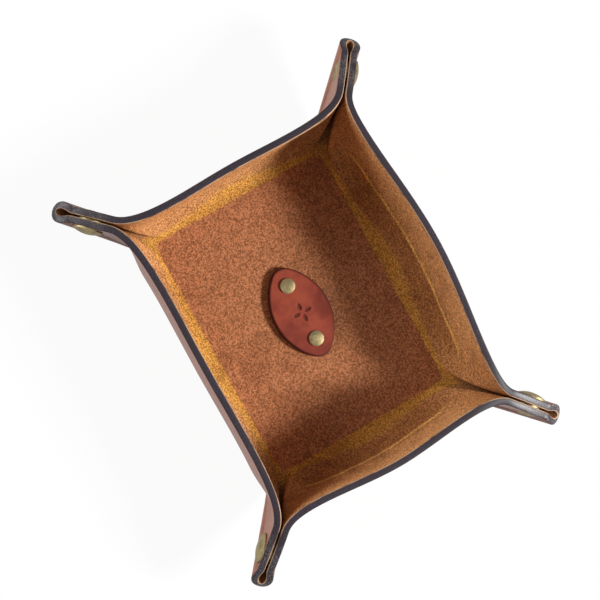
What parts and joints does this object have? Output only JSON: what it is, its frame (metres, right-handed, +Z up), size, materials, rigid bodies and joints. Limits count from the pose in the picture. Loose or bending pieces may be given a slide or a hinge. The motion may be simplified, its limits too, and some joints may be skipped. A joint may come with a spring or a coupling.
{
  "type": "valet tray",
  "caption": "Rectangular leather catch-all tray formed from a single thick sheet, its corners pinched into ears held by ring snaps, with an oval patch riveted to the floor.",
  "frame": {"origin": "middle of the floor's flat underside", "axes": "+Z up out of the tray, +X along its length, +Y towards the back long wall"},
  "size_m": [0.1826, 0.1478, 0.036],
  "materials": {
    "sheet_leather": "vegetable-tanned, smooth grain outside and suede inside, burnished dark edges",
    "patch_leather": "smooth, with a dark bevelled edge",
    "antique_brass": "dull antique",
    "spring_steel": "plain"
  },
  "bodies": {
    "tray": {"leather_tray": "sheet_leather", "oval_patch": "patch_leather", "left_patch_rivet_cap": "antique_brass", "left_patch_rivet_base": "antique_brass", "right_patch_rivet_cap": "antique_brass", "right_patch_rivet_base": "antique_brass", "front_left_snap_stud": "antique_brass", "front_left_snap_eyelet": "antique_brass", "back_left_snap_stud": "antique_brass", "back_left_snap_eyelet": "antique_brass", "back_right_snap_stud": "antique_brass", "back_right_snap_eyelet": "antique_brass", "front_right_snap_stud": "antique_brass", "front_right_snap_eyelet": "antique_brass"},
    "front_left_flap_body": {"front_left_flap": "sheet_leather", "front_left_snap_cap": "antique_brass", "front_left_snap_socket": "antique_brass", "front_left_snap_spring": "spring_steel"},
    "back_left_flap_body": {"back_left_flap": "sheet_leather", "back_left_snap_cap": "antique_brass", "back_left_snap_socket": "antique_brass", "back_left_snap_spring": "spring_steel"},
    "back_right_flap_body": {"back_right_flap": "sheet_leather", "back_right_snap_cap": "antique_brass", "back_right_snap_socket": "antique_brass", "back_right_snap_spring": "spring_steel"},
    "front_right_flap_body": {"front_right_flap": "sheet_leather", "front_right_snap_cap": "antique_brass", "front_right_snap_socket": "antique_brass", "front_right_snap_spring": "spring_steel"}
  },
  "joints": [
    {"name": "front_left_unsnap", "type": "hinge", "parent": "tray", "child": "front_left_flap_body", "pos_m": [-0.08608, -0.07154, 0.01927], "axis": [0.6458, 0.6436, -0.4107], "range_deg": [0, 20]},
    {"name": "back_left_unsnap", "type": "hinge", "parent": "tray", "child": "back_left_flap_body", "pos_m": [-0.08938, 0.07018, 0.01925], "axis": [-0.6843, 0.6097, 0.4001], "range_deg": [0, 20]},
    {"name": "back_right_unsnap", "type": "hinge", "parent": "tray", "child": "back_right_flap_body", "pos_m": [0.09019, 0.07133, 0.01924], "axis": [-0.6841, -0.6159, -0.3907], "range_deg": [0, 20]},
    {"name": "front_right_unsnap", "type": "hinge", "parent": "tray", "child": "front_right_flap_body", "pos_m": [0.0869, -0.07294, 0.01925], "axis": [0.6448, -0.6516, 0.3995], "range_deg": [0, 20]}
  ]
}
